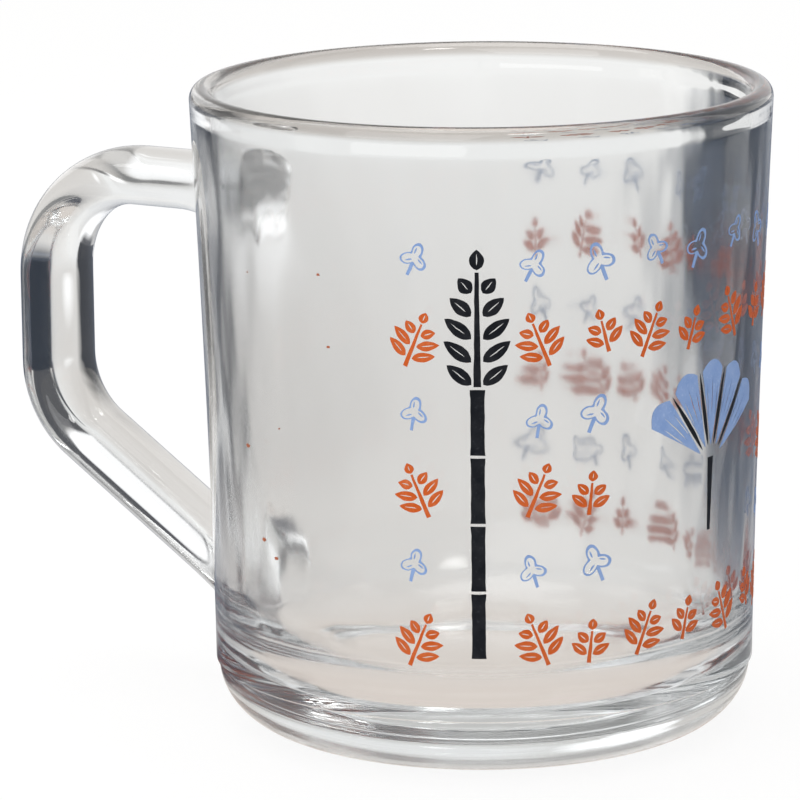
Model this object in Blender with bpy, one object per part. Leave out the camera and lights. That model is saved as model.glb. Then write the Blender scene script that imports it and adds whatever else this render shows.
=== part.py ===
"""Pressed clear-glass mug with a loop handle and a fired enamel print.

Metres, +Z up. The mug stands on z = 0 with its handle towards -X.
The origin is the middle of its footprint.
"""

import math

import bmesh
import bpy
from mathutils import Vector
from mathutils.geometry import tessellate_polygon

# Bowl: outside
HEIGHT = 0.0900
RIM_RADIUS = 0.0403
WALL_FOOT_RADIUS = 0.0378
FLARE_POWER = 1.45
HEEL_HEIGHT = 0.0088
HEEL_RUN = 0.0096
HEEL_LEDGE = 0.0004
# Bowl: rim, inside and underside
RIM_WALL = 0.0030
RIM_ROUND = 0.0018
WALL_FOOT = 0.0037
CORNER_RADIUS = 0.0150
FLOOR_THICKNESS = 0.0065
FOOT_RING_WIDTH = 0.0036
RECESS_DEPTH = 0.0007
RECESS_SLOPE = 0.0055
# Handle: centre line in the plane through the bowl's axis
HANDLE_STANDOFF = 0.03145
TOP_ARM_DROP = 0.0174
GRIP_LENGTH = 0.0350
LOW_ROOT_HEIGHT = 0.0150
TOP_BEND_RADIUS = 0.0150
LOW_BEND_RADIUS = 0.0135
# Handle: section and roots
HANDLE_THICKNESS = 0.0083
HANDLE_WIDTH = 0.0145
ROOT_LENGTH = 0.0085
ROOT_FLARE = 0.0012
ROOT_GAP = 0.0003
# Print: one enamel layer on the outside of the wall
PRINT_GAP = 0.0003
PRINT_THICKNESS = 0.0002
PRINT_START = math.radians(-74)
PRINT_COLUMNS = 16
COLUMN_STEP = math.radians(12)
PRINT_ROWS = 3
PRINT_FOOT = 0.0205
PRINT_HEAD = 0.0180
MOTIF_TILT = math.radians(22)
# Print: small leaves and clovers
LEAF_STALK = 0.0012
LEAF_BLADE = 0.0050
LEAF_SPREAD = 0.0068
LEAF_STEM = 0.0006
LEAF_PAIRS = 3
CLOVER_RADIUS = 0.0024
CLOVER_WAIST = 0.0011
CLOVER_STALK = 0.0020
CLOVER_LINE = 0.0005
# Print: the tall reed
REED_ANGLE = math.radians(-62)
REED_FOOT = 0.0180
REED_HEAD = 0.0160
REED_STEM = 0.0020
REED_EAR = 0.0155
REED_SPREAD = 0.0086
REED_PAIRS = 5
# Print: the fan leaf
FAN_ANGLE = math.radians(-8)
FAN_FOOT = 0.0320
FAN_STALK = 0.0090
FAN_RADIUS = 0.0135
FAN_HUB = 0.0024
FAN_SCALLOP = 0.0012
FAN_OPENING = math.radians(124)
FAN_LOBES = 5
FAN_VEIN = 0.0006
FAN_VEIN_GAP = 0.0003
# Facets
BOWL_SIDES = 72
WALL_STEPS = 6
CURVE_STEPS = 6
RIM_STEPS = 3
SECTION_POINTS = 20
BEND_STEPS = 8
ROOT_STEPS = 3
CAP_RINGS = 2
LEAFLET_STEPS = 4
CLOVER_POINTS = 18
SHARP_ANGLE = math.radians(35)

# Looks: colour, roughness and transmission
GLASS = ((0.93, 0.96, 0.96, 1.0), 0.03, 1.0)
ORANGE = ((0.740, 0.105, 0.020, 1.0), 0.40, 0.0)
BLUE = ((0.160, 0.275, 0.630, 1.0), 0.40, 0.0)
BLACK = ((0.010, 0.011, 0.014, 1.0), 0.40, 0.0)
GLASS_IOR = 1.52

# Heights and radii that follow from the sizes above
SHOULDER = HEIGHT - RIM_ROUND
FOOT_RADIUS = WALL_FOOT_RADIUS - HEEL_LEDGE - HEEL_RUN
FLOOR_HEIGHT = RECESS_DEPTH + FLOOR_THICKNESS
LEAF_LENGTH = LEAF_STALK + LEAF_BLADE * (1 + 1 / LEAF_PAIRS)


def clear_scene():
    for obj in list(bpy.data.objects):
        bpy.data.objects.remove(obj, do_unlink=True)


def finish_material(name, look):
    """A Principled material of one colour, roughness and transmission."""
    colour, roughness, transmission = look
    material = bpy.data.materials.new(name)
    material.use_nodes = True
    shader = material.node_tree.nodes["Principled BSDF"]
    shader.inputs["Base Color"].default_value = colour
    shader.inputs["Roughness"].default_value = roughness
    shader.inputs["Metallic"].default_value = 0.0
    shader.inputs["Transmission Weight"].default_value = transmission
    shader.inputs["IOR"].default_value = GLASS_IOR
    return material


def add_piece(name, bm, material, parent):
    """Turns a bmesh into a smooth-shaded object of the mug."""
    bmesh.ops.recalc_face_normals(bm, faces=bm.faces)
    mesh = bpy.data.meshes.new(name)
    bm.to_mesh(mesh)
    bm.free()
    mesh.shade_smooth()
    mesh.set_sharp_from_angle(angle=SHARP_ANGLE)
    mesh.materials.append(material)
    piece = bpy.data.objects.new(name, mesh)
    bpy.context.collection.objects.link(piece)
    piece.parent = parent


def wall_radius(z):
    """The bowl's outer radius at a height: a round heel, then a wall that flares towards the rim."""
    if z < HEEL_HEIGHT:
        drop = min(1.0, (HEEL_HEIGHT - z) / HEEL_HEIGHT)
        return FOOT_RADIUS + HEEL_RUN * math.sqrt(1 - drop * drop)
    rise = min(1.0, (z - HEEL_HEIGHT) / (SHOULDER - HEEL_HEIGHT))
    return WALL_FOOT_RADIUS + (RIM_RADIUS - WALL_FOOT_RADIUS) * rise**FLARE_POWER


def quarter(centre, radii, start, steps):
    """Points of a quarter ellipse in the (radius, height) plane, without its first point."""
    points = []
    for i in range(1, steps + 1):
        angle = start + math.pi / 2 * i / steps
        points.append((centre[0] + radii[0] * math.cos(angle), centre[1] + radii[1] * math.sin(angle)))
    return points


def bowl_profile():
    """The bowl's section as (radius, height), from mid underside round the rim to mid floor."""
    ring_inside = FOOT_RADIUS - FOOT_RING_WIDTH
    profile = [(0.0, RECESS_DEPTH), (ring_inside - RECESS_SLOPE, RECESS_DEPTH)]
    profile += [(ring_inside, 0.0), (FOOT_RADIUS, 0.0)]
    profile += quarter((FOOT_RADIUS, HEEL_HEIGHT), (HEEL_RUN, HEEL_HEIGHT), -math.pi / 2, CURVE_STEPS)
    for i in range(WALL_STEPS + 1):
        z = HEEL_HEIGHT + (SHOULDER - HEEL_HEIGHT) * i / WALL_STEPS
        profile.append((wall_radius(z), z))
    crown = (RIM_RADIUS - RIM_WALL / 2, SHOULDER)
    bead = (RIM_WALL / 2, RIM_ROUND)
    profile += quarter(crown, bead, 0.0, RIM_STEPS)
    profile += quarter(crown, bead, math.pi / 2, RIM_STEPS)
    corner_height = FLOOR_HEIGHT + CORNER_RADIUS
    inside = wall_radius(corner_height) - WALL_FOOT
    floor_radius = inside - CORNER_RADIUS
    corner = (CORNER_RADIUS, CORNER_RADIUS)
    profile += quarter((floor_radius, corner_height), corner, -math.pi / 2, CURVE_STEPS)[::-1]
    profile += [(floor_radius, FLOOR_HEIGHT), (0.0, FLOOR_HEIGHT)]
    return profile


def make_bowl(material, parent):
    bm = bmesh.new()
    verts = [bm.verts.new((radius, 0.0, z)) for radius, z in bowl_profile()]
    edges = [bm.edges.new(pair) for pair in zip(verts, verts[1:])]
    bmesh.ops.spin(
        bm,
        geom=verts + edges,
        cent=(0, 0, 0),
        axis=(0, 0, 1),
        angle=2 * math.pi,
        steps=BOWL_SIDES,
        use_merge=True,
    )
    bmesh.ops.remove_doubles(bm, verts=bm.verts, dist=1e-6)
    add_piece("bowl", bm, material, parent)


def bend(before, corner, after, radius):
    """A rounded corner of the handle's centre line, as points and the direction at each."""
    back = (before - corner).normalized()
    ahead = (after - corner).normalized()
    half = back.angle(ahead) / 2
    centre = corner + (back + ahead).normalized() * radius / math.sin(half)
    spoke = (corner + back * radius / math.tan(half) - centre).normalized()
    points = []
    for i in range(BEND_STEPS + 1):
        turn = (math.pi - 2 * half) * i / BEND_STEPS
        place = centre + (spoke * math.cos(turn) - back * math.sin(turn)) * radius
        points.append((place, -back * math.cos(turn) - spoke * math.sin(turn)))
    return points


def onto_wall(point, direction):
    """Slides a point along a direction until it stands ROOT_GAP off the wall."""
    near, far = -RIM_RADIUS, RIM_RADIUS
    for _ in range(40):
        middle = (near + far) / 2
        moved = point + direction * middle
        if math.hypot(moved.x, moved.y) > wall_radius(moved.z) + ROOT_GAP:
            near = middle
        else:
            far = middle
    return point + direction * near


def section(centre, direction, grow):
    """One ring of the handle: an oval square to the centre line."""
    side = Vector((0, 1, 0))
    out = direction.cross(side)
    ring = []
    for i in range(SECTION_POINTS):
        angle = 2 * math.pi * i / SECTION_POINTS
        thick = (HANDLE_THICKNESS / 2 + grow) * math.cos(angle)
        wide = (HANDLE_WIDTH / 2 + grow) * math.sin(angle)
        ring.append(centre + out * thick + side * wide)
    return ring


def root_rings(centre, direction, to_wall):
    """Rings from the arm to the wall, flaring as the glass runs into it, then closing over the wall."""
    arm = section(centre, direction, 0.0)
    foot = [onto_wall(point, to_wall) for point in section(centre, direction, ROOT_FLARE)]
    middle = onto_wall(centre, to_wall)
    rings = []
    for i in range(1, ROOT_STEPS + 1):
        along = i / ROOT_STEPS
        ring = []
        for start, end in zip(arm, foot):
            straight = (end - start).project(to_wall)
            ring.append(start + straight * along + (end - start - straight) * along**2)
        rings.append(ring)
    for i in range(CAP_RINGS, 0, -1):
        share = i / (CAP_RINGS + 1)
        rings.append([onto_wall(middle.lerp(point, share), to_wall) for point in foot])
    return rings, middle


def make_handle(material, parent):
    top_height = HEIGHT - TOP_ARM_DROP
    top_wall = Vector((-wall_radius(top_height), 0, top_height))
    low_wall = Vector((-wall_radius(LOW_ROOT_HEIGHT), 0, LOW_ROOT_HEIGHT))
    top_corner = top_wall - Vector((HANDLE_STANDOFF, 0, 0))
    low_corner = top_corner - Vector((0, 0, GRIP_LENGTH))
    outward = (top_corner - top_wall).normalized()
    inward = (low_wall - low_corner).normalized()
    line = [(top_wall + outward * ROOT_LENGTH, outward)]
    line += bend(top_wall, top_corner, low_corner, TOP_BEND_RADIUS)
    line += bend(top_corner, low_corner, low_wall, LOW_BEND_RADIUS)
    line.append((low_wall - inward * ROOT_LENGTH, inward))
    top_rings, top_middle = root_rings(*line[0], -outward)
    low_rings, low_middle = root_rings(*line[-1], inward)
    rings = top_rings[::-1] + [section(centre, direction, 0.0) for centre, direction in line] + low_rings
    bm = bmesh.new()
    loops = [[bm.verts.new(point) for point in ring] for ring in rings]
    for first, second in zip(loops, loops[1:]):
        for i in range(SECTION_POINTS):
            j = (i + 1) % SECTION_POINTS
            bm.faces.new((first[i], first[j], second[j], second[i]))
    for loop, middle in ((loops[0], top_middle), (loops[-1], low_middle)):
        hub = bm.verts.new(middle)
        for i in range(SECTION_POINTS):
            bm.faces.new((loop[i], loop[(i + 1) % SECTION_POINTS], hub))
    add_piece("handle", bm, material, parent)


def print_motif(name, loops, angle, z, tilt, material, parent):
    """A flat outline, with its holes, laid on the wall as one thin enamel solid."""
    across, up = math.cos(tilt), math.sin(tilt)
    flat = [[Vector((u * across - v * up, u * up + v * across, 0)) for u, v in loop] for loop in loops]
    bm = bmesh.new()
    layers = []
    for lift in (PRINT_GAP, PRINT_GAP + PRINT_THICKNESS):
        layer = []
        for point in (point for loop in flat for point in loop):
            height = z + point.y
            turn = angle + point.x / wall_radius(z)
            radius = wall_radius(height) + lift
            layer.append(bm.verts.new((radius * math.cos(turn), radius * math.sin(turn), height)))
        layers.append(layer)
    inner, outer = layers
    for corners in tessellate_polygon(flat):
        bm.faces.new([outer[i] for i in corners])
        bm.faces.new([inner[i] for i in reversed(corners)])
    first = 0
    for loop in flat:
        for i in range(len(loop)):
            a, b = first + i, first + (i + 1) % len(loop)
            bm.faces.new((inner[a], inner[b], outer[b], outer[a]))
        first += len(loop)
    add_piece(name, bm, material, parent)


def pinnate(stalk, blade, spread, stem, pairs):
    """A stem with pairs of slanted leaflets and one at its tip, up its right side and down its left."""
    leaflet_length = blade / pairs
    right = [(stem / 2, 0.0)]
    for i in range(pairs * LEAFLET_STEPS + 1):
        share = i / LEAFLET_STEPS
        taper = math.sin(math.pi * (0.3 + 0.6 * share / pairs))
        leaflet = abs(math.sin(math.pi * share)) * taper
        height = stalk + leaflet_length * (share + leaflet / 2)
        right.append((stem / 2 + (spread - stem) / 2 * leaflet, height))
    end = stalk + blade
    right += [(stem, end + leaflet_length / 3), (stem / 2, end + leaflet_length * 2 / 3)]
    return right + [(0.0, end + leaflet_length)] + [(-u, v) for u, v in reversed(right)]


def clover_edge(inset, start, sweep, steps):
    """Part of a three-lobed outline, drawn in by an inset."""
    middle, swing = (CLOVER_RADIUS + CLOVER_WAIST) / 2, (CLOVER_RADIUS - CLOVER_WAIST) / 2
    points = []
    for i in range(steps + 1):
        angle = start + sweep * i / steps
        radius = middle + swing * math.cos(3 * (angle - math.pi / 2)) - inset
        points.append((radius * math.cos(angle), radius * math.sin(angle)))
    return points


def clover_outlines():
    """A three-lobed line with a short stalk below it, and the space that the line goes round."""
    half = math.asin(CLOVER_LINE / 2 / CLOVER_WAIST)
    line = clover_edge(0.0, -math.pi / 2 + half, 2 * (math.pi - half), CLOVER_POINTS)
    end = -CLOVER_WAIST - CLOVER_STALK
    space = clover_edge(CLOVER_LINE, 0.0, 2 * math.pi, CLOVER_POINTS)[:-1]
    return [line + [(-CLOVER_LINE / 2, end), (CLOVER_LINE / 2, end)], space]


def covered(angle, z):
    """True where the reed or the fan leaf leaves no room for a small motif."""
    radius = wall_radius(z)
    if abs(angle - REED_ANGLE) * radius < (REED_SPREAD + LEAF_SPREAD) / 2:
        return z < HEIGHT - REED_HEAD + LEAF_LENGTH / 2
    fan_half = FAN_RADIUS * math.sin(FAN_OPENING / 2)
    fan_top = FAN_FOOT + FAN_STALK + FAN_RADIUS + FAN_SCALLOP
    beside = abs(angle - FAN_ANGLE) * radius > fan_half + LEAF_SPREAD / 2
    return not beside and FAN_FOOT - LEAF_LENGTH / 2 < z < fan_top + LEAF_LENGTH / 2


def print_small_motifs(orange, blue, parent):
    """Leaves and clovers in turn round the wall, each column dropped half a row from the last."""
    leaf = pinnate(LEAF_STALK, LEAF_BLADE, LEAF_SPREAD, LEAF_STEM, LEAF_PAIRS)
    leaf = [(u, v - LEAF_LENGTH / 2) for u, v in leaf]
    clover = clover_outlines()
    row_step = (HEIGHT - PRINT_HEAD - PRINT_FOOT) / (PRINT_ROWS - 0.5)
    leaves = clovers = 0
    for column in range(PRINT_COLUMNS):
        angle = PRINT_START + COLUMN_STEP * column
        for row in range(PRINT_ROWS):
            lean = MOTIF_TILT if (column // 2 + row) % 2 else -MOTIF_TILT
            z = PRINT_FOOT + row_step * (row + column % 2 / 2)
            if covered(angle, z):
                continue
            if column % 2:
                clovers += 1
                print_motif(f"clover_{clovers:02d}", clover, angle, z, lean, blue, parent)
            else:
                leaves += 1
                print_motif(f"leaf_{leaves:02d}", [leaf], angle, z, lean, orange, parent)


def print_reed(black, parent):
    stalk = HEIGHT - REED_HEAD - REED_FOOT - REED_EAR * (1 + 1 / REED_PAIRS)
    reed = pinnate(stalk, REED_EAR, REED_SPREAD, REED_STEM, REED_PAIRS)
    print_motif("reed", [reed], REED_ANGLE, REED_FOOT, 0.0, black, parent)


def fan_direction(share):
    """The direction of a place across the fan, from its left edge at 0 to its right edge at 1."""
    return math.pi / 2 + FAN_OPENING * (0.5 - share)


def fan_edge(radius, start, end, margin):
    """A lobe's inner or outer edge: a scalloped arc that stays a margin clear of both its sides."""
    lean = math.copysign(math.asin(margin / radius), end - start)
    points = []
    for i in range(LEAFLET_STEPS + 1):
        angle = start + lean + (end - start - 2 * lean) * i / LEAFLET_STEPS
        reach = radius + FAN_SCALLOP * math.sin(math.pi * i / LEAFLET_STEPS)
        points.append((reach * math.cos(angle), reach * math.sin(angle)))
    return points


def print_fan(blue, black, parent):
    """The fan leaf: blue lobes with a black vein in each gap, and a black stalk."""
    place = (FAN_ANGLE, FAN_FOOT + FAN_STALK, 0.0)
    margin = FAN_VEIN / 2 + FAN_VEIN_GAP
    for lobe in range(FAN_LOBES):
        left, right = fan_direction(lobe / FAN_LOBES), fan_direction((lobe + 1) / FAN_LOBES)
        near = fan_edge(FAN_HUB + FAN_VEIN, right, left, margin)
        far = fan_edge(FAN_RADIUS, left, right, margin)
        print_motif(f"fan_lobe_{lobe + 1}", [near + far], *place, blue, parent)
    for vein in range(1, FAN_LOBES):
        angle = fan_direction(vein / FAN_LOBES)
        ahead = Vector((math.cos(angle), math.sin(angle)))
        aside = ahead.orthogonal() * FAN_VEIN / 2
        root, tip = ahead * (FAN_HUB + FAN_VEIN), ahead * FAN_RADIUS
        print_motif(f"fan_vein_{vein}", [[root + aside, tip, root - aside]], *place, black, parent)
    half = FAN_VEIN / 2
    head = FAN_HUB / 2
    stalk = [(-half, -FAN_STALK), (half, -FAN_STALK), (FAN_VEIN, head), (-FAN_VEIN, head)]
    print_motif("fan_stalk", [stalk], *place, black, parent)


def main():
    clear_scene()
    axis = bpy.data.objects.new("mug_axis", None)
    bpy.context.collection.objects.link(axis)
    reach = wall_radius(HEIGHT - TOP_ARM_DROP) + HANDLE_STANDOFF + HANDLE_THICKNESS / 2
    axis.location.x = (reach - RIM_RADIUS) / 2
    glass = finish_material("clear_glass", GLASS)
    orange = finish_material("orange_enamel", ORANGE)
    blue = finish_material("blue_enamel", BLUE)
    black = finish_material("black_enamel", BLACK)
    make_bowl(glass, axis)
    make_handle(glass, axis)
    print_small_motifs(orange, blue, axis)
    print_reed(black, axis)
    print_fan(blue, black, axis)


main()
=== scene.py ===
import math
import random

import bmesh
import bpy
import numpy as np
from mathutils import Matrix, Vector, noise
from mathutils.geometry import tessellate_polygon


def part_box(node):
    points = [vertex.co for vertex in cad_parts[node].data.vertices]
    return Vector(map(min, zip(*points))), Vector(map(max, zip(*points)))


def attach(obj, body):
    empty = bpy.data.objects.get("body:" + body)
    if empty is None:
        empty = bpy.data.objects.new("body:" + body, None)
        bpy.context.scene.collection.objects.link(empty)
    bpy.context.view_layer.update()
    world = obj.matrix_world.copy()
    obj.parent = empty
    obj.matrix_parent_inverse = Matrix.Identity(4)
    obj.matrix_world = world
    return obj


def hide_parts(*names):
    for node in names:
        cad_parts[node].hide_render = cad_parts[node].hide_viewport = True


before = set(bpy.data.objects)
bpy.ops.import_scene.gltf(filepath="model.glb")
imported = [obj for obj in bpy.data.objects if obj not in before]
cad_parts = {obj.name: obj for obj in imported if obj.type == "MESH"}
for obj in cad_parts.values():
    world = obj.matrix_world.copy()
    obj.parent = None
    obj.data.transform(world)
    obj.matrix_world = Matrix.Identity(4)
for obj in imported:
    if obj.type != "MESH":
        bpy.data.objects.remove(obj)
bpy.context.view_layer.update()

# Glass body: bowl, foot and loop handle, pressed in one mould from clear soda-lime glass.
# The mould shapes the outside and the plunger the inside, where its drag leaves faint upright ripples.
# The rim is fire-polished round, and a fine step shows where the mould's bottom ring meets its side.
bowl_low, bowl_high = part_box("bowl")
handle_low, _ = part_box("handle")
AXIS_X = (bowl_low.x + bowl_high.x) / 2
HEIGHT = bowl_high.z
RIM_RADIUS = (bowl_high.y - bowl_low.y) / 2
RIM_WALL = 0.0030
RIM_ROUND = 0.0018
RIM_BEAD = 0.00035
RIM_BEAD_RUN = 0.0028
LIP = (RIM_WALL + RIM_BEAD) / 2
SHOULDER = HEIGHT - RIM_ROUND
WALL_FOOT_RADIUS = 0.0378
WALL_FOOT = 0.0037
FLARE_POWER = 1.45
HEEL_HEIGHT = 0.0088
HEEL_RUN = 0.0096
HEEL_LEDGE = 0.0004
LEDGE_LOW = 0.0001
LEDGE_HIGH = 0.0004
FOOT_RADIUS = WALL_FOOT_RADIUS - HEEL_LEDGE - HEEL_RUN
FOOT_RING_WIDTH = 0.0036
RECESS_DEPTH = 0.0007
RECESS_SLOPE = 0.0055
FLOOR_HEIGHT = 0.0072
FLOOR_CROWN = 0.0003
CORNER_RADIUS = 0.0150
BOWL_SIDES = 320
RECESS_STEPS = 8
SLOPE_STEPS = 12
HEEL_STEPS = 28
LEDGE_STEPS = 4
WALL_STEPS = 48
LIP_STEPS = 14
BEAD_STEPS = 10
CORNER_STEPS = 30
FLOOR_STEPS = 10
# Ripples of the inside wall: how many go round, how deep each is, and how far it leans up the wall
RIPPLES = ((7, 0.000050, 6), (13, 0.000040, -9), (29, 0.000018, 14), (47, 0.000009, -20))
RIPPLE_FADE = 0.008


def wall_radius(z):
    """The bowl's outer radius at a height: a round heel, then a wall that flares towards the rim."""
    if z < HEEL_HEIGHT:
        drop = min(1.0, (HEEL_HEIGHT - z) / HEEL_HEIGHT)
        return FOOT_RADIUS + HEEL_RUN * math.sqrt(1 - drop * drop)
    rise = min(1.0, (z - HEEL_HEIGHT) / (SHOULDER - HEEL_HEIGHT))
    return WALL_FOOT_RADIUS + (RIM_RADIUS - WALL_FOOT_RADIUS) * rise**FLARE_POWER


def arc(centre, radii, start, end, steps):
    """Points of an elliptic arc in the (radius, height) plane, by angles in degrees."""
    points = []
    for i in range(steps + 1):
        angle = math.radians(start + (end - start) * i / steps)
        points.append((centre[0] + radii[0] * math.cos(angle), centre[1] + radii[1] * math.sin(angle)))
    return points


def eased(share):
    """A share of 0 to 1 that starts and stops gently."""
    return share * share * (3 - 2 * share)


def blend(start, end, steps):
    """Points of a soft S-curve between two places in the (radius, height) plane, level at both ends."""
    points = []
    for i in range(steps + 1):
        share = i / steps
        points.append((start[0] + (end[0] - start[0]) * share, start[1] + (end[1] - start[1]) * eased(share)))
    return points


def outside_profile():
    """From the middle of the underside, over the foot ring and the heel, to the top of the rim."""
    ring_inside = FOOT_RADIUS - FOOT_RING_WIDTH
    profile = [(0.0, RECESS_DEPTH)]
    for i in range(1, RECESS_STEPS):
        profile.append(((ring_inside - RECESS_SLOPE) * i / RECESS_STEPS, RECESS_DEPTH))
    profile += blend((ring_inside - RECESS_SLOPE, RECESS_DEPTH), (ring_inside, 0.0), SLOPE_STEPS)
    profile += [(ring_inside + FOOT_RING_WIDTH / 2, 0.0)]
    profile += arc((FOOT_RADIUS, HEEL_HEIGHT), (HEEL_RUN, HEEL_HEIGHT), -90, 0, HEEL_STEPS)
    ledge_start = (FOOT_RADIUS + HEEL_RUN, HEEL_HEIGHT + LEDGE_LOW)
    profile += blend(ledge_start, (WALL_FOOT_RADIUS, HEEL_HEIGHT + LEDGE_HIGH), LEDGE_STEPS)
    for i in range(1, WALL_STEPS + 1):
        z = HEEL_HEIGHT + LEDGE_HIGH + (SHOULDER - HEEL_HEIGHT - LEDGE_HIGH) * i / WALL_STEPS
        profile.append((wall_radius(z), z))
    return profile + arc((RIM_RADIUS - LIP, SHOULDER), (LIP, RIM_ROUND), 0, 90, LIP_STEPS)[1:]


def inside_profile():
    """From the top of the rim down the plunger's side and round corner to the middle of the floor."""
    profile = arc((RIM_RADIUS - LIP, SHOULDER), (LIP, RIM_ROUND), 90, 180, LIP_STEPS)[1:]
    bead = blend((SHOULDER, RIM_BEAD), (SHOULDER - RIM_BEAD_RUN, 0.0), BEAD_STEPS)[1:]
    profile += [(wall_radius(z) - RIM_WALL - swell, z) for z, swell in bead]
    corner_height = FLOOR_HEIGHT + CORNER_RADIUS
    wall_top = SHOULDER - RIM_BEAD_RUN
    inside_foot = wall_radius(corner_height) - WALL_FOOT
    for i in range(1, WALL_STEPS):
        share = i / WALL_STEPS
        z = wall_top + (corner_height - wall_top) * share
        profile.append((wall_radius(z) - RIM_WALL - (WALL_FOOT - RIM_WALL) * share, z))
    floor_radius = inside_foot - CORNER_RADIUS
    profile += arc((floor_radius, corner_height), (CORNER_RADIUS, CORNER_RADIUS), 0, -90, CORNER_STEPS)
    for i in range(1, FLOOR_STEPS + 1):
        share = i / FLOOR_STEPS
        profile.append((floor_radius * (1 - share), FLOOR_HEIGHT + FLOOR_CROWN * eased(share)))
    return profile


def turned_bowl():
    """The bowl as a closed turned solid, its inside wall rippled by the plunger."""
    outside, inside = outside_profile(), inside_profile()
    profile = np.array(outside + inside)
    angles = np.arange(BOWL_SIDES) * 2 * math.pi / BOWL_SIDES
    radii = np.repeat(profile[:, :1], BOWL_SIDES, axis=1)
    heights = np.repeat(profile[:, 1:], BOWL_SIDES, axis=1)
    swell = np.zeros_like(radii)
    for count, depth, lean in RIPPLES:
        swell += depth * np.sin(count * angles + lean * heights / HEIGHT + count)
    under_rim = np.clip((SHOULDER - heights) / RIPPLE_FADE, 0, 1)
    over_floor = np.clip((heights - FLOOR_HEIGHT) / CORNER_RADIUS, 0, 1)
    swell *= under_rim * over_floor
    swell[: len(outside)] = 0
    radii = radii + swell
    bm = bmesh.new()
    rings = []
    for ring_radii, z in zip(radii[1:-1], profile[1:-1, 1]):
        rings.append([
            bm.verts.new((AXIS_X + r * math.cos(a), r * math.sin(a), z)) for r, a in zip(ring_radii, angles)
        ])
    for first, second in zip(rings, rings[1:]):
        for i in range(BOWL_SIDES):
            j = (i + 1) % BOWL_SIDES
            bm.faces.new((first[i], first[j], second[j], second[i]))
    for ring, z in ((rings[0], profile[0, 1]), (rings[-1], profile[-1, 1])):
        hub = bm.verts.new((AXIS_X, 0, z))
        for i in range(BOWL_SIDES):
            bm.faces.new((ring[i], ring[(i + 1) % BOWL_SIDES], hub))
    return bm


HANDLE_THICKNESS = 0.0083
HANDLE_WIDTH = 0.0145
TOP_ARM_DROP = 0.0174
TOP_ARM_HEIGHT = HEIGHT - TOP_ARM_DROP
GRIP_LENGTH = 0.0350
LOW_ROOT_HEIGHT = 0.0150
TOP_BEND_RADIUS = 0.0150
LOW_BEND_RADIUS = 0.0135
ROOT_LENGTH = 0.0085
ROOT_FLARE = 0.0012
ROOT_FILLET = 0.0060
ROOT_SINK = 0.0016
ROOT_OPENING = 2.4
SECTION_POINTS = 56
ROOT_STEPS = 14
ROOT_CAPS = 4
TOP_ARM_STEPS = 6
TOP_BEND_STEPS = 26
GRIP_STEPS = 10
LOW_BEND_STEPS = 18
LOW_ARM_STEPS = 10
SLIDE_HALVINGS = 40
SHARP_EDGE = math.radians(40)


def bend(before, corner, after, radius, steps):
    """A rounded corner of the handle's centre line, as points and the direction at each."""
    back = (before - corner).normalized()
    ahead = (after - corner).normalized()
    half = back.angle(ahead) / 2
    centre = corner + (back + ahead).normalized() * radius / math.sin(half)
    spoke = (corner + back * radius / math.tan(half) - centre).normalized()
    points = []
    for i in range(steps + 1):
        turn = (math.pi - 2 * half) * i / steps
        place = centre + (spoke * math.cos(turn) - back * math.sin(turn)) * radius
        points.append((place, -back * math.cos(turn) - spoke * math.sin(turn)))
    return points


def straight(start, end, steps):
    """Points between two places of the centre line, without its ends, and the direction at each."""
    direction = (end - start).normalized()
    return [(start.lerp(end, i / steps), direction) for i in range(1, steps)]


def into_wall(point, direction):
    """Slides a point along a direction until it lies sunk in the glass of the wall."""
    near, far = -RIM_RADIUS, RIM_RADIUS
    for _ in range(SLIDE_HALVINGS):
        middle = (near + far) / 2
        moved = point + direction * middle
        if math.hypot(moved.x, moved.y) > wall_radius(moved.z) - ROOT_SINK:
            near = middle
        else:
            far = middle
    return point + direction * near


def section(centre, direction, grow=0.0, fillet=0.0):
    """One ring of the handle: an oval square to the centre line, fuller inside the loop by a fillet."""
    side = Vector((0, 1, 0))
    out = direction.cross(side)
    ring = []
    for i in range(SECTION_POINTS):
        angle = 2 * math.pi * i / SECTION_POINTS
        cos, sin = math.cos(angle), math.sin(angle)
        thick = (HANDLE_THICKNESS / 2 + grow) * cos + fillet * max(0.0, cos) ** 2
        ring.append(centre + out * thick + side * (HANDLE_WIDTH / 2 + grow) * sin)
    return ring


def root_rings(centre, direction, to_wall):
    """Rings from the arm into the wall, flaring as the glass runs together, and the point closing them."""
    arm = section(centre, direction)
    foot = [into_wall(point, to_wall) for point in section(centre, direction, ROOT_FLARE, ROOT_FILLET)]
    middle = into_wall(centre, to_wall)
    rings = []
    for i in range(1, ROOT_STEPS + 1):
        along = i / ROOT_STEPS
        ring = []
        for start, end in zip(arm, foot):
            run = (end - start).project(to_wall)
            ring.append(start + run * along + (end - start - run) * along**ROOT_OPENING)
        rings.append(ring)
    for i in range(ROOT_CAPS, 0, -1):
        rings.append([into_wall(middle.lerp(point, i / (ROOT_CAPS + 1)), to_wall) for point in foot])
    return rings, middle


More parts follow.
